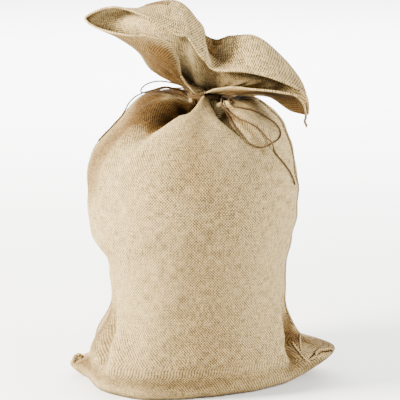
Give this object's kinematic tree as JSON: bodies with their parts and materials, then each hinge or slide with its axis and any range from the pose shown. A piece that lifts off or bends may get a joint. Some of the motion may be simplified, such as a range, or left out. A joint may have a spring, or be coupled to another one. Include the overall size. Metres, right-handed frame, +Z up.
{
  "type": "tied hessian sack",
  "caption": "Full woven sack standing on a flat base, tied at the neck with twine, with a flared open mouth above the tie and empty bottom corners.",
  "frame": {"origin": "middle of the bounding box at floor height, measured without the free twine", "axes": "+Z up through the neck, -Y to the front, where the tied neck leans the cloth's apron forward, +X to the viewer's right"},
  "size_m": [0.485, 0.373, 0.689],
  "materials": {
    "hessian": "coarse undyed plain weave, matte",
    "twine": "twisted jute twine, matte"
  },
  "bodies": {
    "root": {"sack": "hessian", "tie_wrap": "twine", "tie_knot": "twine", "twine_loop_left": "twine", "twine_loop_right": "twine", "twine_end_left": "twine", "twine_end_right": "twine"}
  },
  "joints": []
}
